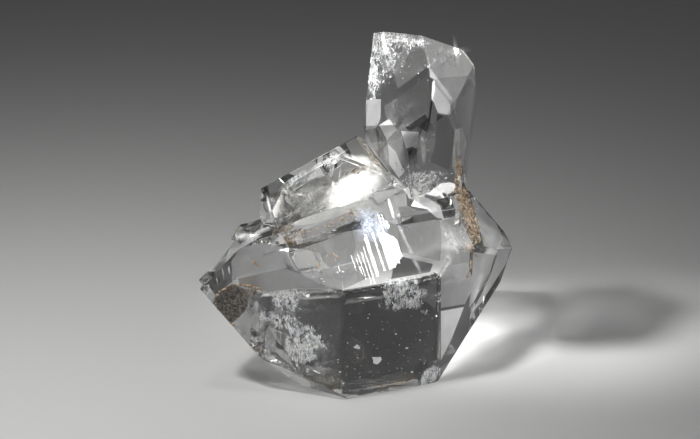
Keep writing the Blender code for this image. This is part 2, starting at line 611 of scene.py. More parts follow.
def scatter_tree():
    """Shapes set on random points of a sheet's faces, or on the points of a mesh with no faces."""
    tree, given = new_group("scatter", "GeometryNodeTree", (
        ("Geometry", "Geometry", None),
        ("Shape", "Object", None),
        ("Material", "Material", None),
        ("On points", "Bool", False),
        ("Density", "Float", 40.0),
        ("Clump size", "Float", 1.0),
        ("Smallest", "Float", 0.05),
        ("Largest", "Float", 0.3),
        ("Tumble", "Float", 0.5),
        ("Spin", "Float", 3.2),
        ("Seed", "Int", 1),
    ), ("Geometry", "Geometry"))
    seed = given["Seed"]

    clumps = node(tree, "ShaderNodeTexNoise", {"Scale": given["Clump size"], "Detail": 3.0})
    keep = node(tree, "ShaderNodeMapRange", {"Value": clumps.outputs["Fac"], **CLUMP_NOISE})
    cover = node(tree, "GeometryNodeInputNamedAttribute", {"Name": "cover"})
    share = product(tree, keep.outputs["Result"], cover.outputs["Attribute"])
    strewn = node(tree, "GeometryNodeDistributePointsOnFaces", {
        "Mesh": given["Geometry"], "Density": product(tree, share, given["Density"]), "Seed": seed})
    points = node(tree, "GeometryNodeSwitch", {
        "Switch": given["On points"], "False": strewn.outputs["Points"], "True": given["Geometry"],
    }, input_type="GEOMETRY")

    chance = node(tree, "FunctionNodeRandomValue", {"Seed": seed}, data_type="FLOAT")
    rare = node(tree, "ShaderNodeMath", {0: chance.outputs[1], 1: RARE_POWER}, operation="POWER")
    size = node(tree, "ShaderNodeMapRange", {
        "Value": rare.outputs[0], "To Min": given["Smallest"], "To Max": given["Largest"]})
    uneven = node(tree, "FunctionNodeRandomValue", {
        "Min": LEAST_SHARE, "Max": (1.0, 1.0, 1.0), "Seed": seed}, data_type="FLOAT_VECTOR")
    scaled = node(tree, "ShaderNodeVectorMath", {
        0: uneven.outputs[0], "Scale": size.outputs["Result"]}, operation="SCALE")

    high = node(tree, "ShaderNodeCombineXYZ", {
        "X": given["Tumble"], "Y": given["Tumble"], "Z": given["Spin"]})
    low = node(tree, "ShaderNodeVectorMath", {0: high.outputs[0], "Scale": -1.0}, operation="SCALE")
    turn = node(tree, "FunctionNodeRandomValue", {
        "Min": low.outputs[0], "Max": high.outputs[0], "Seed": seed}, data_type="FLOAT_VECTOR")
    angles = node(tree, "FunctionNodeEulerToRotation", {0: turn.outputs[0]})
    turned = node(tree, "FunctionNodeRotateRotation", {
        0: strewn.outputs["Rotation"], 1: angles.outputs[0]}, rotation_space="LOCAL")

    shape = node(tree, "GeometryNodeObjectInfo", {"Object": given["Shape"]})
    placed = node(tree, "GeometryNodeInstanceOnPoints", {
        "Points": points.outputs[0], "Instance": shape.outputs["Geometry"],
        "Rotation": turned.outputs[0], "Scale": scaled.outputs[0]})
    real = node(tree, "GeometryNodeRealizeInstances", {"Geometry": placed.outputs["Instances"]})
    finish = node(tree, "GeometryNodeSetMaterial", {
        "Geometry": real.outputs["Geometry"], "Material": given["Material"]})
    node(tree, "NodeGroupOutput", {"Geometry": finish.outputs["Geometry"]})
    return tree


def scattered(base, shape, values):
    """A mesh of shapes strewn over a base mesh. Both are used up."""
    tree = bpy.data.node_groups.get("scatter") or scatter_tree()
    holder = linked("scatter_base", base)
    pattern = linked("scatter_shape", shape)
    modifier = holder.modifiers.new("scatter", "NODES")
    modifier.node_group = tree
    inputs = [item for item in tree.interface.items_tree if item.in_out == "INPUT"]
    sockets = {item.name: item.identifier for item in inputs}
    modifier[sockets["Shape"]] = pattern
    for name, value in values.items():
        modifier[sockets[name]] = value
    data = evaluated_mesh(holder)
    holder.modifiers.clear()
    removed(holder)
    removed(pattern)
    return from_data(data)


# A flake's corners: its two ends, its two sides, and its middle on each face.
FLAKE = (
    (0.0, 0.5, 0.0), (0.0, -0.5, 0.0), (0.13, 0.06, 0.0), (-0.11, -0.04, 0.0), (0.0, 0.0, 0.04),
    (0.0, 0.0, -0.04))

# A veil's flake that comes closer than this to the quartz's surface is dropped.
FLAKE_MARGIN = 0.02


def flake_shape():
    """A thin sliver with pointed ends, one millimetre long."""
    mesh = bmesh.new()
    verts = [mesh.verts.new(place) for place in FLAKE]
    for end in (0, 1):
        for side in (2, 3):
            for face in (4, 5):
                mesh.faces.new((verts[end], verts[side], verts[face]))
    bmesh.ops.recalc_face_normals(mesh, faces=mesh.faces)
    return as_data(mesh, "flake")


def grain_shape():
    """A lumpy grain, one millimetre across."""
    mesh = bmesh.new()
    bmesh.ops.create_icosphere(mesh, subdivisions=1, radius=0.5)
    for vert in mesh.verts:
        vert.co *= 1.0 + 0.5 * noise.noise(3.1 * vert.co)
    return as_data(mesh, "grain")


# Sheets inside the quartz

# How much a sheet's depth rises and falls, as a share, and the longest cell of its net, in steps.
DEPTH_RIPPLE = 0.4
LONGEST_CELL = 6.0

# Waves of a sheet's depth and rim, and the finer ones of its rim, for each half of its width.
WAVES = 2.1
FINE_WAVES = 6.3


class Sheet:
    """A cloudy sheet inside the quartz, which follows the faces that it is seen through.

    pixel is the picture point where its middle shows, depth how far behind the surface it is, size
    its width and height in millimetres and turn its turn in the picture in degrees. ragged is how
    uneven its rim is, strength its greatest cover and rim how fast the cover rises from the rim.
    """

    def __init__(self, pixel, depth, size, turn=0.0, ragged=0.4, seed=0, strength=1.0, rim=1.6):
        self.pixel = Vector(pixel)
        self.depth = depth
        self.size = size
        self.turn = math.radians(turn)
        self.ragged = ragged
        self.seed = seed
        self.strength = strength
        self.rim = rim

    def place(self, skin, s, t):
        """The point at shares s and t of the half width and half height, or None off the quartz."""
        across = Vector((math.cos(self.turn), -math.sin(self.turn)))
        up = Vector((-math.sin(self.turn), -math.cos(self.turn)))
        reach = 0.5 * (self.size[0] * s * across + self.size[1] * t * up)
        ripple = noise.noise(Vector((WAVES * s + self.seed, WAVES * t, 9.1)))
        depth = self.depth * (1.0 + DEPTH_RIPPLE * ripple)
        try:
            return skin.inside(self.pixel + reach * MM / settings().view.pixel, depth)
        except ValueError:
            return None

    def mesh(self, skin, step=0.10):
        """Its mesh, with a cover value that falls from the middle to nought at the rim."""
        counts = [max(3, round(side / step)) for side in self.size]
        mesh = bmesh.new()
        cover = mesh.verts.layers.float.new("cover")
        grid = {}
        for i in range(counts[0] + 1):
            for j in range(counts[1] + 1):
                s = 2.0 * i / counts[0] - 1.0
                t = 2.0 * j / counts[1] - 1.0
                ripple = noise.noise(Vector((WAVES * s + self.seed, WAVES * t, 0.3)))
                fine = noise.noise(Vector((FINE_WAVES * s + self.seed, FINE_WAVES * t, 5.7)))
                rim = math.hypot(s, t) + self.ragged * (ripple + 0.5 * fine)
                point = self.place(skin, s, t) if rim < 1.0 else None
                if point is None:
                    continue
                vert = mesh.verts.new(point)
                vert[cover] = self.strength * min(1.0, self.rim * (1.0 - max(0.0, rim)))
                grid[i, j] = vert
        for (i, j) in list(grid):
            corners = [grid.get(key) for key in ((i, j), (i + 1, j), (i + 1, j + 1), (i, j + 1))]
            if all(corners):
                longest = max((a.co - b.co).length for a in corners for b in corners)
                if longest < LONGEST_CELL * step:
                    mesh.faces.new(corners)
        return without_loose(mesh)


def trimmed(mesh, skin, corners):
    """Drop each flake that would stick out of the quartz. corners is how many a flake has."""
    mesh.verts.ensure_lookup_table()
    out = []
    for first in range(0, len(mesh.verts), corners):
        flake = mesh.verts[first:first + corners]
        if not all(skin.holds(vert.co, FLAKE_MARGIN) for vert in flake):
            out.extend(flake)
    bmesh.ops.delete(mesh, geom=out, context="VERTS")
    return mesh


class DeepSheet(Sheet):
    """A sheet far inside the quartz: flat, leaning and bent, and not led by the faces.

    lean is how its right side and its top turn away from the view, in degrees, and bend how far its
    rim lies behind its middle.
    """

    def __init__(self, pixel, depth, size, lean, bend, margin=0.06, **looks):
        super().__init__(pixel, depth, size, **looks)
        self.lean = [math.radians(angle) for angle in lean]
        self.bend = bend
        self.margin = margin

    def place(self, skin, s, t):
        across, up, ahead = view_axes()
        spin = Matrix.Rotation(-self.turn, 3, ahead)
        across, up = spin @ across, spin @ up
        turned = Matrix.Rotation(self.lean[0], 3, up) @ Matrix.Rotation(self.lean[1], 3, across)
        reach = 0.5 * turned @ (self.size[0] * s * across + self.size[1] * t * up)
        back = self.bend * (s * s + t * t) * (turned @ ahead)
        point = skin.inside(self.pixel, self.depth) + reach + back
        return point if skin.holds(point, self.margin) else None


# Growth lines and tiny crystals on the faces

# A growth line's wedge: how deep it is sunk in the face, in millimetres, where its crest is, as a
# share of its width, and how high its low side stands.
LINE_SINK = 0.06
LINE_CREST = 0.48
LINE_TOE = 0.001


def closed(mesh, first, last):
    """Close the body between two rings of corners."""
    mesh.faces.new(first)
    mesh.faces.new(list(reversed(last)))
    for index in range(len(first)):
        after = (index + 1) % len(first)
        mesh.faces.new((first[index], last[index], last[after], first[after]))


def ridge(mesh, start, end, normal, width, slope):
    """A low wedge along a face. Its left side is a gentle slope and its right side is steep."""
    along = (end - start).normalized()
    side = normal.cross(along).normalized()
    rise = width * math.tan(slope)
    profile = (
        -0.5 * width * side - LINE_SINK * normal,
        0.5 * width * side - LINE_SINK * normal,
        LINE_CREST * width * side + rise * normal,
        -0.5 * width * side + LINE_TOE * normal,
    )
    closed(mesh, *([mesh.verts.new(place + corner) for corner in profile] for place in (start, end)))


def ridge_facet(skin, pixel):
    """Outward normal of the gentle side of a growth line through a picture point."""
    start, normal, ray = skin.hit(Vector(pixel) - 0.3 * LINE_RUN)
    end, normal, ray = skin.hit(Vector(pixel) + 0.3 * LINE_RUN)
    side = normal.cross(end - start).normalized()
    slope = settings().quartz.line_slope
    return (math.cos(slope) * normal - math.sin(slope) * side).normalized()


def six_sided(mesh, place, axis, width, heights, roll=0.0):
    """Two rings of six corners round an axis, at two heights along it."""
    side = axis.orthogonal().normalized()
    other = axis.cross(side)
    rings = []
    for along in heights:
        ring = []
        for index in range(6):
            angle = roll + math.tau * index / 6.0
            out = 0.5 * width * (math.cos(angle) * side + math.sin(angle) * other)
            ring.append(mesh.verts.new(place + along * axis + out))
        rings.append(ring)
    return rings


# The height of a tiny crystal's points, as a share of its width.
TIP_SHARE = 0.55


def tiny_crystal(mesh, place, axis, width, length, roll):
    """A small doubly pointed six-sided crystal."""
    axis = axis.normalized()
    low, high = six_sided(mesh, place, axis, width, (-0.5 * length, 0.5 * length), roll)
    reach = (0.5 * length + TIP_SHARE * width) * axis
    tips = [mesh.verts.new(place - reach), mesh.verts.new(place + reach)]
    for index in range(6):
        after = (index + 1) % 6
        mesh.faces.new((low[index], low[after], high[after], high[index]))
        mesh.faces.new((low[after], low[index], tips[0]))
        mesh.faces.new((high[index], high[after], tips[1]))


# Groups of growth lines: picture points of the first and last line's middle, their run from top to
# bottom, the width of a line and the gap to the next in millimetres.
LINE_RUN = Vector((14.0, 42.0))
GROWTH_LINES = (
    ((356.0, 270.0), (369.0, 265.0), 0.85, 0.12, 0.13),
    ((370.0, 254.0), (398.5, 248.0), 1.05, 0.15, 0.010),
    ((380.0, 222.0), (392.0, 219.0), 0.45, 0.16, 0.10),
    ((312.0, 270.0), (338.0, 268.0), 0.35, 0.12, 0.30),
    ((408.0, 226.0), (432.0, 228.0), 0.6, 0.08, 0.7),
)


# Seams where tiny crystals grow: picture points along each, number of crystals, largest width in
# millimetres.
DRUSE = (
    (((250, 247), (262, 243), (276, 240)), 12, 0.55),
    (((416, 312), (428, 313), (437, 317)), 12, 0.42),
    (((352, 208), (366, 200), (380, 194)), 5, 0.42),
    (((268, 238), (290, 234), (318, 228), (336, 224)), 14, 0.50),
    (((396, 160), (405, 172), (420, 184)), 12, 0.60),
    (((440, 196), (452, 194), (462, 196)), 8, 0.50),
)


# How far the tiny crystals stray from their seam, in pixels.
DRUSE_SPREAD = 2.0


def path_point(path, share):
    """The point at a share of a polyline's length."""
    path = [Vector(point) for point in path]
    lengths = [(b - a).length for a, b in zip(path, path[1:])]
    left = share * sum(lengths)
    for start, end, length in zip(path, path[1:], lengths):
        if left <= length:
            return start.lerp(end, left / length)
        left -= length
    return path[-1]


# A group of growth lines is tight where its gaps are under this share of a line's width. In the left
# part of a tight group a share of the lines is missing.
TIGHT = 0.5
SPARSE_PART = 0.45
MISSING_SHARE = 0.35

# Two points are on one face where the cosine between their normals is over this.
SAME_FACE = 0.999


def relief_mesh(skin):
    """All growth lines and tiny crystals, each a closed body sunk in the faces."""
    chance = random.Random(11)
    mesh = bmesh.new()
    for first, last, length, width, gap in GROWTH_LINES:
        first, last = Vector(first), Vector(last)
        span = (last - first).length * settings().view.pixel / MM
        count = max(2, round(span / (width + gap)))
        for index in range(count):
            share = index / (count - 1)
            loose = min(1.0, gap / width)
            if loose < TIGHT and share < SPARSE_PART and chance.random() < MISSING_SHARE:
                continue
            middle = first.lerp(last, share)
            middle.x += chance.uniform(-0.4, 0.4) * loose * gap * MM / settings().view.pixel
            shrink = math.sqrt(max(0.04, 1.0 - (0.9 * share) ** 2)) if loose < TIGHT else 1.0
            half = 0.5 * length * shrink * LINE_RUN
            uneven = 0.1 + 0.35 * max(loose, 1.0 - 2.0 * share)
            top = middle - half * chance.uniform(1.0 - uneven, 1.08)
            bottom = middle + half * chance.uniform(1.0 - uneven, 1.08)
            broken = chance.uniform(0.3, 0.7)
            slope = settings().quartz.line_slope * chance.uniform(0.97, 1.03)
            for low, high in ((0.0, broken - 0.01), (broken + 0.01, 1.0)):
                sway = Vector((chance.uniform(-0.5, 0.5), 0.0)) * (0.3 + loose)
                start, normal, ray = skin.hit(top.lerp(bottom, low) + sway)
                end, other, ray = skin.hit(top.lerp(bottom, high) + sway)
                if normal.dot(other) > SAME_FACE:
                    wide = width * chance.uniform(1.0 - 0.6 * max(loose, 1.0 - 2.0 * share), 1.0)
                    ridge(mesh, start, end, normal, wide, slope)
    for path, count, width in DRUSE:
        for index in range(count):
            spot = path_point(path, chance.random())
            spot = spot + Vector((chance.gauss(0.0, DRUSE_SPREAD), chance.gauss(0.0, DRUSE_SPREAD)))
            point, normal, ray = skin.hit(spot)
            wide = width * (0.35 + 0.65 * chance.random() ** 2)
            lean = Vector((chance.uniform(-1, 1), chance.uniform(-1, 1), chance.uniform(-1, 1)))
            axis = (normal + 0.9 * lean).normalized()
            tiny_crystal(mesh, point - 0.1 * wide * normal, axis, wide, 0.6 * wide, chance.uniform(0, 1))
    for pixel, width in CHIPS:
        chip(mesh, skin, pixel, width)
    bmesh.ops.recalc_face_normals(mesh, faces=mesh.faces)
    return mesh


# Small chipped faces that mirror the lamp to the front view: picture point, width in millimetres.
# A chip reaches from the first to the second of these shares of its width, through the face.
CHIPS = (((456.5, 52.5), 0.72), ((446, 178), 0.22), ((252, 236), 0.30))
CHIP_HEIGHTS = (-0.3, 0.35)


def chip(mesh, skin, pixel, width):
    """A short six-sided stump whose top mirrors the lamp to the front view."""
    point, normal, ray = skin.hit(pixel)
    toward = (Vector(settings().stage.lamp_place) / MM - point).normalized()
    axis = (toward - ray).normalized()
    low, high = six_sided(mesh, point, axis, width, [share * width for share in CHIP_HEIGHTS])
    mesh.faces.new(high)
    mesh.faces.new(list(reversed(low)))
    for index in range(6):
        after = (index + 1) % 6
        mesh.faces.new((low[index], low[after], high[after], high[index]))


# Round cavities: picture point, depth behind the surface, radius in millimetres.
BUBBLES = (
    ((259, 339), 1.2, 0.36),
    ((402, 230), 1.6, 0.26),
    ((296, 330), 1.4, 0.12),
    ((352, 300), 1.4, 0.10),
    ((446, 178), 1.0, 0.16),
)


BUBBLE_STRETCH = (1.25, 1.0, 0.85, 1.0)


def bubble_mesh(skin):
    mesh = bmesh.new()
    for pixel, depth, radius in BUBBLES:
        place = Matrix.Translation(skin.inside(pixel, depth)) @ Matrix.Diagonal(BUBBLE_STRETCH)
        bmesh.ops.create_icosphere(mesh, subdivisions=3, radius=radius, matrix=place)
    return mesh


# Edges that are longer, in millimetres, and sharper than this are worn.
WORN_LENGTH = 0.8
WORN_ANGLE = math.radians(14)

# Corners of the dressed quartz closer than this are one corner.
SEAM_WELD = 0.001


def worn(edge):
    if not edge.is_manifold or not edge.is_convex:
        return False
    return edge.calc_length() > WORN_LENGTH and edge.calc_face_angle() > WORN_ANGLE


def bevelled(mesh, width):
    """Narrow worn faces along the long sharp edges."""
    bmesh.ops.bevel(
        mesh, geom=[edge for edge in mesh.edges if worn(edge)], offset=width, offset_type="WIDTH",
        segments=1, affect="EDGES", clamp_overlap=False, profile=0.5)
    return mesh


class CLUSTER_OT_quartz(bpy.types.Operator):
    """Make the clear solid, with its worn edges, growth lines, tiny crystals and bubbles"""

    bl_idname = "cluster.quartz"
    bl_label = "Clear quartz"

    def execute(self, context):
        skin = Skin()
        body = linked("quartz_body", as_data(bevelled(merged_cluster(), settings().quartz.edge)))
        relief = linked("quartz_relief", as_data(relief_mesh(skin)))
        hollows = linked("quartz_hollows", as_data(bubble_mesh(skin)))
        for operation, other in (("UNION", relief), ("DIFFERENCE", hollows)):
            modifier = body.modifiers.new(operation.lower(), "BOOLEAN")
            modifier.operation = operation
            modifier.solver = "EXACT"
            modifier.use_self = operation == "UNION"
            modifier.object = other
        mesh = from_data(evaluated_mesh(body))
        for item in (body, relief, hollows):
            item.modifiers.clear()
            removed(item)
        bmesh.ops.remove_doubles(mesh, verts=mesh.verts, dist=SEAM_WELD)
        piece = finished(mesh, "quartz", clear_quartz(), "clear_quartz")
        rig.replaces(piece, NODE)
        return {"FINISHED"}


VEILS = (
    Sheet((287, 294), 0.35, (3.8, 3.4), turn=-10, ragged=0.5, seed=1, rim=2.4),
    Sheet((281, 319), 0.35, (4.2, 2.0), turn=-20, ragged=0.5, seed=2, strength=0.8),
    Sheet((303, 342), 0.35, (3.8, 4.2), turn=30, ragged=0.5, seed=3, rim=2.4),
    Sheet((402, 293), 0.30, (4.8, 3.4), turn=8, ragged=0.35, seed=4, rim=3.0),
    Sheet((429, 377), 0.3, (2.9, 1.5), turn=46, ragged=0.2, seed=5, rim=3.0),
    Sheet((370, 46), 0.5, (7.4, 8.0), turn=-20, ragged=0.45, seed=6, strength=0.6, rim=1.0),
    Sheet((371, 78), 0.4, (1.6, 5.0), turn=5, ragged=0.4, seed=16, strength=0.8),
    Sheet((405, 40), 0.5, (6.4, 2.0), turn=-8, ragged=0.4, seed=14, strength=0.5),
    Sheet((437, 68), 0.3, (1.6, 2.4), turn=-12, ragged=0.25, seed=7, rim=5.0),
    Sheet((447, 56), 0.3, (2.8, 1.6), turn=-25, ragged=0.4, seed=8, strength=0.8),
    Sheet((422, 180), 0.8, (5.4, 2.0), turn=5, ragged=0.5, seed=10, strength=0.5),
    Sheet((444, 296), 0.6, (1.6, 1.6), turn=35, ragged=0.5, seed=15, strength=0.5),
)

# Faint haze with no slivers.
HAZES = (
    Sheet((302, 207), 0.6, (6.6, 3.0), turn=30, ragged=0.4, seed=17, strength=0.85),
    Sheet((300, 180), 0.6, (4.8, 1.4), turn=30, ragged=0.4, seed=18, strength=0.45),
    Sheet((330, 160), 0.6, (4.0, 1.2), turn=30, ragged=0.4, seed=19, strength=0.5),
    Sheet((310, 355), 0.9, (5.0, 6.0), turn=0, ragged=0.4, seed=20, strength=0.35),
    Sheet((405, 115), 0.8, (5.0, 4.0), turn=30, ragged=0.4, seed=38, strength=0.30),
    Sheet((455, 240), 0.6, (4.0, 6.0), turn=20, ragged=0.4, seed=39, strength=0.30),
    Sheet((272, 338), 0.4, (3.6, 4.0), turn=20, ragged=0.5, seed=47, strength=0.40),
)

# Bright cracks with smooth edges. Most of them are white sheets that paint in highlights: glints on
# edges and faces and bright reflections seen through the quartz.
BRIGHT_CRACKS_AND_HIGHLIGHTS = (
    Sheet((423, 150), 0.5, (0.7, 3.0), turn=3, ragged=0.1, seed=22),
    Sheet((457, 147), 0.3, (0.9, 3.8), turn=-8, ragged=0.1, seed=23),
    Sheet((430, 205), 0.3, (2.9, 1.3), turn=-30, ragged=0.25, seed=24),
    Sheet((391, 208), 0.3, (0.4, 2.4), turn=16, ragged=0.1, seed=25),
    Sheet((247, 236), 0.3, (2.8, 0.8), turn=4, ragged=0.2, seed=26),
    Sheet((490, 254), 0.3, (1.3, 3.0), turn=-28, ragged=0.3, seed=27),
    Sheet((333, 166), 0.4, (0.4, 3.2), turn=-14, ragged=0.1, seed=28),
    Sheet((380, 172), 0.3, (0.5, 3.4), turn=38, ragged=0.1, seed=29),
    Sheet((398, 182), 0.3, (0.5, 2.4), turn=45, ragged=0.1, seed=30),
    Sheet((270, 210), 0.3, (0.3, 3.4), turn=12, ragged=0.1, seed=40),
    Sheet((223, 273), 0.06, (0.18, 1.5), turn=10, ragged=0.4, seed=44, strength=0.5),
    Sheet((229, 270), 0.06, (0.24, 1.1), turn=4, ragged=0.4, seed=45, strength=0.6),
    Sheet((217, 281), 0.06, (0.18, 1.0), turn=16, ragged=0.4, seed=46, strength=0.5),
    Sheet((318, 167), 0.12, (8.4, 0.14), turn=30, ragged=0.3, seed=48, strength=0.7),
    Sheet((306, 183), 0.15, (5.0, 0.12), turn=30, ragged=0.3, seed=49, strength=0.6),
    Sheet((300, 208), 0.15, (4.2, 0.16), turn=34, ragged=0.5, seed=50, strength=0.8),
    Sheet((312, 214), 0.15, (4.6, 0.16), turn=28, ragged=0.5, seed=51, strength=0.8),
    Sheet((292, 216), 0.15, (2.6, 0.20), turn=38, ragged=0.5, seed=52, strength=0.8),
    Sheet((340, 172), 0.15, (0.14, 3.2), turn=-10, ragged=0.3, seed=53, strength=0.8),
)

# Cream and brown films in the seams, and a bluish one behind the growth lines.
STAINS = (
    Sheet((305, 236), 0.3, (8.4, 1.5), turn=10, ragged=0.5, seed=31, strength=0.7),
    Sheet((344, 218), 0.3, (5.0, 1.4), turn=28, ragged=0.5, seed=32, strength=0.6),
    Sheet((358, 170), 0.3, (4.6, 0.9), turn=12, ragged=0.4, seed=33, strength=0.8),
    Sheet((316, 198), 0.6, (9.5, 4.2), turn=30, ragged=0.5, seed=34, strength=0.30),
    Sheet((467, 214), 0.2, (2.2, 4.6), turn=14, ragged=0.4, seed=35),
    Sheet((308, 256), 0.3, (3.6, 2.2), turn=20, ragged=0.3, seed=37, strength=0.6),
    Sheet((373, 156), 0.3, (5.6, 0.9), turn=-52, ragged=0.3, seed=43, strength=0.8),
)
BLUISH = Sheet((371, 226), 0.4, (4.0, 3.6), turn=-20, ragged=0.35, seed=36)

# Inner films that follow the faces and paint in the light and dark seen through them: reflections of
# the room and the table, highlights, and shade. Picture corners, depth in millimetres, brightness and
# cover. A pair of covers goes from left to right.
PAINTED_LIGHT_FILMS = (
    (((366.5, 100), (381, 99), (380.5, 119), (376, 128), (366, 130)), 0.08, 0.38, 0.8),
    (((379, 125), (389, 119), (397, 129), (387, 140)), 0.08, 0.70, 0.85),
    (((401, 131), (419, 132), (417, 146), (406, 148)), 0.08, 1.0, 0.9),
    (((388, 144), (396, 152), (404, 172), (399, 178), (389, 164)), 0.08, 0.9, 0.8),
    (((430, 66), (437, 60), (445, 72), (436, 80), (430, 77)), 0.06, 1.0, 0.95),
    (((432, 82), (440, 78), (470, 76), (475, 84), (449, 115), (438, 113), (432, 98)), 0.1, 0.90, 0.8),
    (((366.5, 131), (377, 129), (384, 141), (371, 143)), 0.06, 0.005, 0.92),
    (((389, 141), (398, 134), (400, 141), (393, 144)), 0.06, 0.005, 0.92),
    (((405, 128), (425, 114), (435, 130), (426, 132), (419, 127), (410, 131)), 0.10, 0.02, 0.8),
    (((404, 149), (417, 148), (418, 163), (408, 168)), 0.08, 0.02, 0.75),
    (((371, 144), (387, 142), (389, 155), (381, 160)), 0.08, 0.02, 0.8),
    (((437, 114), (448, 117), (454, 131), (453, 151), (449, 170), (430, 162), (435, 147)), 0.2, 0.01, 0.75),
    (((455, 130), (463, 127), (466, 142), (463, 164), (456, 176), (452, 166), (455, 150)), 0.1, 0.55, 0.5),
    (((399, 52), (403, 50), (407, 52), (408, 56), (406, 60), (402, 61), (399, 58)), 0.1, 0.03, 0.7),
    (((398, 98), (429, 74), (429, 110), (405, 125), (386, 118), (384, 106)), 0.3, 0.20, 0.4),
    (((411, 206), (415, 198), (428, 198), (440, 206), (444, 219), (437, 218), (427, 209)), 0.08, 1.0, 0.85),
    (((391, 279), (396, 255), (433, 264), (430, 272)), 0.15, 0.03, 0.8),
    (((397, 214), (420, 209), (439, 214), (442, 240), (440, 261), (400, 252)), 0.15, 0.12, 0.5),
    (((343, 290), (392, 282), (440, 275), (439, 352), (430, 370), (417, 379), (344, 391)), 1.0, 0.05, 0.75),
    (((300, 289), (343, 291), (343, 390), (315, 386), (288, 367), (258, 342), (262, 312), (270, 293)),
     1.0, 0.05, (0.30, 0.72)),
    (((441, 268), (468, 262), (474, 285), (465, 304), (441, 308)), 0.1, 0.50, 0.7),
    (((441, 311), (464, 307), (452, 338), (441, 360)), 0.08, 1.0, 0.8),
    (((473, 252), (495, 255), (490, 272), (476, 298), (469, 308), (472, 276)), 0.1, 0.60, 0.6),
    (((471, 198), (480, 194), (490, 209), (503, 238), (496, 250), (484, 246), (478, 222)), 0.15, 0.9, 0.6),
    (((499, 250), (511, 248), (507, 262), (482, 302), (472, 312), (488, 282)), 0.15, 0.8, 0.6),
    (((232, 260), (242, 247), (262, 243), (284, 247), (290, 257), (297, 270), (268, 270), (252, 273),
      (238, 277), (232, 280)), 0.12, 0.19, 0.7),
    (((238, 276), (252, 272), (268, 269), (297, 269), (312, 277), (342, 280), (343, 290), (300, 288),
      (268, 292), (240, 286)), 0.12, 0.28, 0.6),
    (((291, 257), (300, 250), (319, 253), (321, 262), (312, 269), (301, 273)), 0.08, 0.40, 0.7),
    (((214, 264), (220, 254), (233, 243), (248, 236), (262, 236), (250, 243), (236, 251), (226, 259)),
     0.08, 0.5, 0.6),
    (((208, 272), (217, 266), (229, 260), (232, 268), (232, 282), (224, 288), (216, 296), (210, 288)),
     0.12, 0.01, 0.85),
    (((240, 231), (248, 225), (260, 224), (261, 230), (248, 232)), 0.1, 0.03, 0.7),
    (((303, 272), (318, 270), (336, 267), (356, 262), (368, 263), (372, 276), (344, 289), (342, 280),
      (312, 277)), 0.15, 0.24, 0.60),
    (((303, 240), (330, 232), (352, 227), (356, 246), (352, 262), (330, 268), (323, 262), (320, 253),
      (301, 249)), 0.25, 0.15, 0.50),
    (((300, 231), (330, 220), (352, 211), (356, 222), (330, 231), (303, 239)), 0.2, 0.16, 0.5),
    (((198, 262), (208, 258), (213, 268), (206, 280), (200, 276)), 0.08, 0.15, 0.6),
)

# Two neighbouring corners of a film's net further apart than this are on different crystals.
FILM_JUMP = 1.2

# A milky crack deep in the middle crystal that paints in the bright glow of the lamp's reflection inside it, lit by
# the glow lamp.
GLOW = DeepSheet((352, 190), 2.0, (7.4, 4.4), (10, -10), 0.5, turn=28, ragged=0.2, seed=12)

# The stained crack at the left end, and the smoke to its right.
CRACK = Sheet((230, 305), 0.3, (3.2, 4.3), turn=-35, ragged=0.12, seed=13, rim=9.0)
SMOKE = (
    Sheet((254, 304), 0.4, (3.4, 3.0), turn=-30, ragged=0.3, seed=41, strength=0.8),
    Sheet((300, 306), 0.5, (6.0, 2.0), turn=-10, ragged=0.4, seed=42, strength=0.4),
)

# Single bright flakes: picture point, width in millimetres.
SPECKS = (
    ((357, 347), 0.85), ((377, 360), 1.25), ((407, 348), 0.35), ((308, 296), 0.6), ((313, 278), 0.5),
    ((340, 372), 0.3), ((396, 334), 0.25), ((420, 340), 0.22), ((368, 318), 0.2), ((412, 372), 0.3),
)

# The depth of the single flakes and the width of the smallest of the others, in millimetres, and
# how far a flake leans, in radians.
SPECK_DEPTH = 0.25
SPECK_LEAST = 0.05
SPECK_LEAN = 0.7

# Fields of small bright flakes: left, right, top and bottom in the picture, number, largest width,
# depth, the last two in millimetres.
SPECK_FIELDS = (
    (345, 436, 300, 392, 150, 0.16, 0.3),
    (225, 340, 270, 380, 120, 0.16, 0.6),
    (308, 346, 264, 284, 26, 0.30, 0.05),
    (460, 480, 194, 240, 150, 0.26, 0.02),
    (366, 428, 36, 96, 90, 0.22, 0.3),
    (400, 460, 132, 190, 80, 0.18, 0.4),
    (286, 330, 196, 222, 40, 0.20, 0.3),
)


class CLUSTER_OT_veils(bpy.types.Operator):
    """Make the white veils, which are healed cracks full of tiny flakes, and the milky and bright sheets that paint in
    the glow and highlights
    """

    bl_idname = "cluster.veils"
    bl_label = "White veils"

    def execute(self, context):
        looks = settings().veil
        skin = Skin()
        white = mineral("white_veil", (looks.cool, looks.warm), 1200.0, 0.22)
        base = as_data(joined([veil.mesh(skin) for veil in VEILS]))
        mesh = scattered(base, flake_shape(), {
            "Material": white, "Density": looks.density, "Clump size": 1.6,
            "Smallest": 0.06, "Largest": looks.flake, "Tumble": 0.9, "Spin": 1.1, "Seed": 3})
        finished(trimmed(mesh, skin, len(FLAKE)), "veil_flakes", white, "white_veil")

        haze = sheet_material("veil_haze", (looks.cool, looks.warm), 1300.0, 0.42, 0.5, (1.0, 1.0, 0.5))
        mesh = joined([veil.mesh(skin) for veil in VEILS + HAZES])
        finished(mesh, "veil_haze", haze, "white_veil")

        # The milky sheet that paints in the glow of the lamp's reflection inside the middle crystal.
        glow = sheet_material("milky_crack", (looks.colour, (1.0, 0.98, 0.93)), 420.0, 0.25, 0.6)
        finished(GLOW.mesh(skin), "milky_crack", glow, "white_veil")
        # White sheets, partly bright cracks and mostly painted highlights and bright reflections.
        bright = sheet_material("bright_crack_and_highlight", (looks.colour, (1.0, 0.99, 0.97)), 700.0, 0.20, 0.5)
        mesh = joined([crack.mesh(skin, step=0.06) for crack in BRIGHT_CRACKS_AND_HIGHLIGHTS])
        finished(mesh, "bright_cracks", bright, "white_veil")
        return {"FINISHED"}


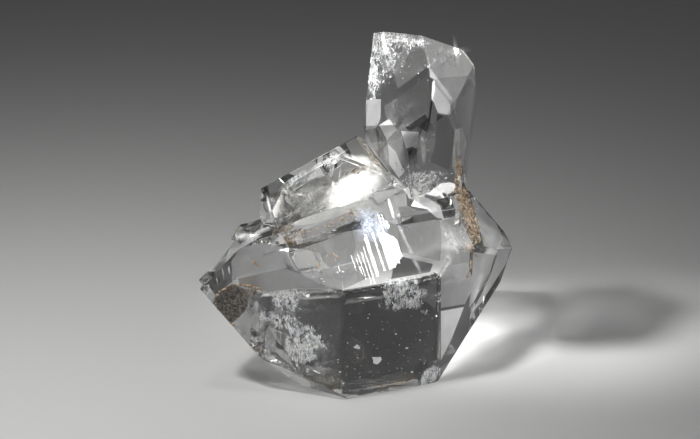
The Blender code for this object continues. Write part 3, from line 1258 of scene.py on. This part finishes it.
def painted_light_film_mesh(skin, films, step=1.5):
    """Thin films which follow the faces, from their picture corners, and paint in reflections, highlights and shade.
    """
    mesh = bmesh.new()
    tone = mesh.verts.layers.float.new("tone")
    cover = mesh.verts.layers.float.new("cover")
    for corners, depth, bright, share in films:
        drawn = bmesh.new()
        drawn.faces.new([drawn.verts.new((x, y, 0.0)) for x, y in corners])
        for column, normal in enumerate((Vector((1.0, 0.0, 0.0)), Vector((0.0, 1.0, 0.0)))):
            first = min(corner[column] for corner in corners)
            last = max(corner[column] for corner in corners)
            for line in range(1, math.ceil((last - first) / step)):
                geometry = drawn.verts[:] + drawn.edges[:] + drawn.faces[:]
                bmesh.ops.bisect_plane(
                    drawn, geom=geometry, plane_co=(first + step * line) * normal, plane_no=normal)
        left = min(corner[0] for corner in corners)
        right = max(corner[0] for corner in corners)
        at_left, at_right = share if isinstance(share, tuple) else (share, share)
        verts = {}
        for spot in drawn.verts:
            try:
                vert = mesh.verts.new(skin.inside(spot.co.xy, depth))
            except ValueError:
                continue
            vert[tone] = bright
            vert[cover] = at_left + (at_right - at_left) * (spot.co.x - left) / (right - left)
            verts[spot] = vert
        for face in drawn.faces:
            ring = [verts.get(spot) for spot in face.verts]
            if all(ring) and max((a.co - b.co).length for a in ring for b in ring) < FILM_JUMP:
                mesh.faces.new(ring)
        drawn.free()
    return without_loose(mesh)


class CLUSTER_OT_films(bpy.types.Operator):
    """Make the inner films of painted reflections, highlights and shade, and the stained films in the seams"""

    bl_idname = "cluster.films"
    bl_label = "Inner faces and films"

    def execute(self, context):
        skin = Skin()
        # The inner films: painted reflections, highlights and shade seen through the faces.
        finished(painted_light_film_mesh(skin, PAINTED_LIGHT_FILMS), "inner_faces", painted_light_film_material(), "clear_quartz")
        cream = sheet_material("cream_film", ((0.34, 0.26, 0.18), (0.74, 0.69, 0.60)), 1000.0, 0.38, 0.5)
        finished(joined([film.mesh(skin) for film in STAINS]), "cream_films", cream, "brown_clay")
        blue = sheet_material("bluish_film", ((0.34, 0.40, 0.56), (0.88, 0.92, 1.0)), 2600.0, 0.38, 0.4)
        finished(BLUISH.mesh(skin), "bluish_film", blue, "white_veil")
        return {"FINISHED"}


class CLUSTER_OT_specks(bpy.types.Operator):
    """Make the single bright flakes behind the front faces"""

    bl_idname = "cluster.specks"
    bl_label = "Bright flakes"

    def execute(self, context):
        skin = Skin()
        chance = random.Random(5)
        across, up, ahead = view_axes()
        looks = settings().veil
        white = mineral("bright_flake", (looks.cool, looks.warm), 2500.0, 0.3)
        mesh = bmesh.new()
        flakes = [(pixel, width, SPECK_DEPTH) for pixel, width in SPECKS]
        for left, right, top, bottom, count, largest, depth in SPECK_FIELDS:
            for index in range(count):
                pixel = (chance.uniform(left, right), chance.uniform(top, bottom))
                width = SPECK_LEAST + (largest - SPECK_LEAST) * chance.random() ** 3
                flakes.append((pixel, width, depth))
        for pixel, width, depth in flakes:
            try:
                place = skin.inside(pixel, depth)
            except ValueError:
                continue
            count = chance.randint(5, 8)
            sideways = Matrix.Rotation(chance.uniform(-SPECK_LEAN, SPECK_LEAN), 3, up)
            spin = sideways @ Matrix.Rotation(chance.uniform(-SPECK_LEAN, SPECK_LEAN), 3, across)
            corners = []
            for index in range(count):
                angle = math.tau * index / count
                reach = 0.5 * width * chance.uniform(0.55, 1.1)
                corners.append(spin @ (reach * (math.cos(angle) * across + 0.7 * math.sin(angle) * up)))
            thick = spin @ (0.04 * width * ahead)
            front = [mesh.verts.new(place + corner - thick) for corner in corners]
            back = [mesh.verts.new(place + corner + thick) for corner in corners]
            closed(mesh, front, back)
        bmesh.ops.recalc_face_normals(mesh, faces=mesh.faces)
        finished(mesh, "bright_flakes", white, "white_veil")
        return {"FINISHED"}


class CLUSTER_OT_crack(bpy.types.Operator):
    """Make the stained crack inside the left end"""

    bl_idname = "cluster.crack"
    bl_label = "Stained crack"

    def execute(self, context):
        skin = Skin()
        brown = ((0.030, 0.026, 0.022), (0.24, 0.205, 0.17))
        dark = sheet_material("stained_crack", brown, 2400.0, 0.10, 0.7)
        finished(CRACK.mesh(skin, step=0.07), "stained_crack", dark, "brown_clay")
        greys = ((0.03, 0.03, 0.03), (0.34, 0.34, 0.35))
        grey = sheet_material("smoke", greys, 900.0, 0.34, 0.6, (1.0, 1.0, 0.4))
        finished(joined([sheet.mesh(skin) for sheet in SMOKE]), "smoke", grey, "brown_clay")
        return {"FINISHED"}


# Seams filled with clay: picture points along each, half width in pixels, number of grains.
CLAY = (
    (((458, 158), (459, 174), (457, 192)), 3.6, 340),
    (((461, 192), (466, 204), (471, 218), (476, 238)), 6.8, 1500),
    (((465, 243), (470, 249), (477, 257)), 0.9, 70),
    (((478, 240), (472, 247), (467, 250)), 0.9, 60),
    (((470, 257), (471, 267), (467, 278)), 0.7, 60),
    (((326, 256), (332, 253), (338, 257), (334, 261)), 0.8, 40),
    (((318, 262), (320, 268), (322, 275)), 0.6, 24),
    (((421, 238), (423, 246)), 0.8, 12),
    (((250, 258), (256, 264), (260, 266)), 1.0, 24),
    (((214, 299), (219, 292), (228, 287), (238, 285), (248, 285), (258, 288), (265, 292)), 0.35, 150),
    (((214, 300), (219, 312), (226, 322), (236, 326)), 0.35, 70),
    (((300, 232), (318, 230), (336, 222), (352, 212)), 1.6, 60),
    (((340, 178), (360, 172), (378, 166)), 0.8, 26),
)

# How far the grains stray from their seam, in half widths, and how deep they sit, in millimetres.
CLAY_SPREAD = 0.85
CLAY_SINK = 0.02


class CLUSTER_OT_clay(bpy.types.Operator):
    """Make the brown clay grains in the seams"""

    bl_idname = "cluster.clay"
    bl_label = "Clay"

    def execute(self, context):
        looks = settings().clay
        skin = Skin()
        chance = random.Random(23)
        brown = mineral("brown_clay", (looks.dark, looks.light), 2600.0, 0.85)
        seeds = bmesh.new()
        for path, half, count in CLAY:
            for index in range(count):
                spot = path_point(path, chance.random())
                spread = Vector((chance.uniform(-1.0, 1.0), chance.uniform(-1.0, 1.0)))
                spot = spot + CLAY_SPREAD * half * spread
                try:
                    point, normal, ray = skin.hit(spot)
                except ValueError:
                    continue
                seeds.verts.new(point - CLAY_SINK * normal)
        mesh = scattered(as_data(seeds), grain_shape(), {
            "Material": brown, "On points": True, "Smallest": 0.06, "Largest": looks.grain,
            "Tumble": 3.0, "Seed": 8})
        finished(mesh, "clay_grains", brown, "brown_clay")
        return {"FINISHED"}


def table_paper():
    material, tree, shader = new_material("table_paper")
    shader.inputs["Base Color"].default_value = (*settings().stage.table_colour, 1.0)
    shader.inputs["Roughness"].default_value = 0.9
    return material


# Small soft lights that a face mirrors to the front view: name, picture point on the face, width
# and height of the bright patch in pixels, distance in millimetres, brightness, and whether the
# growth lines mirror it and not the face itself.
MIRRORED = (
    ("shine_lines", (377, 250), (70, 84), 80.0, 30.0, True),
    ("shine_left", (246, 236), (26, 8), 110.0, 30.0, False),
)


# Narrow lamps that light what is inside: name, place in millimetres, picture point and depth aimed
# at, strength in watts and whole opening angle in degrees.
NARROW = (
    ("glow_lamp", (-40.0, -30.0, 90.0), (350, 191), 2.0, 0.85, 11.0),
    ("end_lamp", (60.0, -50.0, 60.0), (468, 272), 0.4, 0.26, 14.0),
    ("haze_lamp", (-40.0, -30.0, 90.0), (400, 88), 0.5, 0.40, 16.0),
    ("veil_lamp", (-60.0, -90.0, 70.0), (350, 318), 0.4, 0.25, 11.0),
)


def spot_lamp(name, place, target, power, spread):
    """A round soft-edged lamp, aimed at a target. Places are in metres."""
    light = bpy.data.lights.new(name, "SPOT")
    light.energy = power
    light.spot_size = spread
    light.spot_blend = 1.0
    light.shadow_soft_size = settings().stage.lamp_size
    lamp = linked(name, light)
    lamp.location = place
    beam = Vector(target) - lamp.location
    lamp.rotation_euler = beam.to_track_quat("-Z", "Y").to_euler()


def narrow_light(skin, name, place, pixel, depth, power, spread):
    """A narrow lamp aimed at a point inside the quartz."""
    target = skin.inside(pixel, depth) * MM
    spot_lamp(name, Vector(place) * MM, target, power, math.radians(spread))


def mirrored_light(skin, name, pixel, patch, reach, brightness, by_lines):
    """A soft light where a face mirrors it to the front view at a picture point."""
    view = settings().view
    point, normal, ray = skin.hit(pixel)
    if by_lines:
        normal = ridge_facet(skin, pixel)
    back = ray.reflect(normal)
    across, up, ahead = view_axes()
    grow = (1.0 + reach * MM / view.distance) * view.pixel
    light = bpy.data.lights.new(name, "AREA")
    light.shape = "ELLIPSE"
    light.size = patch[0] * grow
    light.size_y = patch[1] * grow
    light.energy = brightness * math.pi * light.size * light.size_y * math.pi / 4.0
    lamp = linked(name, light)
    lamp.location = (point + reach * back) * MM
    columns = (-across.reflect(normal), up.reflect(normal), back)
    lamp.rotation_euler = Matrix(columns).transposed().to_euler()


# The short rays round the very bright glint.
RAYS = {
    "Threshold": 4.0, "Strength": 1.0, "Streaks": 4, "Streaks Angle": math.radians(8.0),
    "Iterations": 2, "Fade": 0.78}


def glare(scene):
    """Short rays of light round the one very bright glint, as in a small camera."""
    scene.use_nodes = True
    tree = scene.node_tree
    tree.nodes.clear()
    picture = node(tree, "CompositorNodeRLayers")
    rays = node(tree, "CompositorNodeGlare", {
        "Image": picture.outputs["Image"], **RAYS}, glare_type="STREAKS", quality="HIGH")
    node(tree, "CompositorNodeComposite", {"Image": rays.outputs["Image"]})


# Half the width of the table and how far it lies under the quartz, in metres.
TABLE_HALF = 0.6
TABLE_DROP = 0.00002


class CLUSTER_OT_stage(bpy.types.Operator):
    """Make the table, the lights and the camera"""

    bl_idname = "cluster.stage"
    bl_label = "Table, light and camera"

    def execute(self, context):
        scene = context.scene
        values = settings()
        mesh = bmesh.new()
        bmesh.ops.create_grid(mesh, x_segments=1, y_segments=1, size=TABLE_HALF)
        data = as_data(mesh, "table")
        data.materials.append(table_paper())
        table = linked("table", data)
        table.location.z = -TABLE_DROP
        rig.stage(table)

        stage = values.stage
        spot_lamp("lamp", stage.lamp_place, stage.lamp_target, stage.lamp_power, stage.lamp_spread)
        skin = Skin()
        for narrow in NARROW:
            narrow_light(skin, *narrow)
        for mirrored in MIRRORED:
            mirrored_light(skin, *mirrored)

        world = bpy.data.worlds.new("room")
        world.use_nodes = True
        world.node_tree.nodes["Background"].inputs["Color"].default_value = (
            *values.stage.room_colour, 1.0)
        scene.world = world

        view = values.view
        camera = bpy.data.cameras.new("camera")
        camera.sensor_width = SENSOR_WIDTH
        camera.lens = SENSOR_WIDTH * view.distance / (view.pixel * PICTURE[0])
        camera.clip_start = 0.001
        eye = linked("camera", camera)
        across, up, ahead = view_axes()
        eye.location = Vector(view.aim) - view.distance * ahead
        eye.rotation_euler = (math.pi / 2.0 - view.tilt, 0.0, 0.0)
        scene.camera = eye
        scene.view_settings.view_transform = "Standard"
        scene.cycles.max_bounces = 32
        scene.cycles.transmission_bounces = 32
        scene.cycles.glossy_bounces = 16
        scene.cycles.diffuse_bounces = 4
        scene.cycles.transparent_max_bounces = 32
        scene.cycles.caustics_refractive = True
        scene.cycles.caustics_reflective = True
        glare(scene)
        return {"FINISHED"}


class CLUSTER_PT_panel(bpy.types.Panel):
    bl_label = "Quartz Cluster"
    bl_space_type = "VIEW_3D"
    bl_region_type = "UI"
    bl_category = "Quartz Cluster"

    def draw(self, context):
        for operator in OPERATORS:
            self.layout.operator(operator.bl_idname)


GROUPS = (ViewSettings, StageSettings, QuartzSettings, VeilSettings, ClaySettings, ClusterSettings)
OPERATORS = (
    CLUSTER_OT_stage, CLUSTER_OT_quartz, CLUSTER_OT_veils, CLUSTER_OT_films, CLUSTER_OT_specks,
    CLUSTER_OT_crack, CLUSTER_OT_clay)


def register():
    for item in GROUPS + OPERATORS + (CLUSTER_PT_panel,):
        bpy.utils.register_class(item)
    bpy.types.Scene.quartz_cluster_settings = PointerProperty(type=ClusterSettings)


def unregister():
    del bpy.types.Scene.quartz_cluster_settings
    for item in reversed(GROUPS + OPERATORS + (CLUSTER_PT_panel,)):
        bpy.utils.unregister_class(item)


def main():
    register()
    bpy.ops.cluster.stage()
    bpy.ops.cluster.quartz()
    bpy.ops.cluster.veils()
    bpy.ops.cluster.films()
    bpy.ops.cluster.specks()
    bpy.ops.cluster.crack()
    bpy.ops.cluster.clay()
    boxes = {"cad": CAD_BOX, "visual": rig.bounds()}
    with open("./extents.json", "w") as file:
        json.dump({name: [list(corner) for corner in box] for name, box in boxes.items()}, file)


if __name__ == "__main__":
    main()
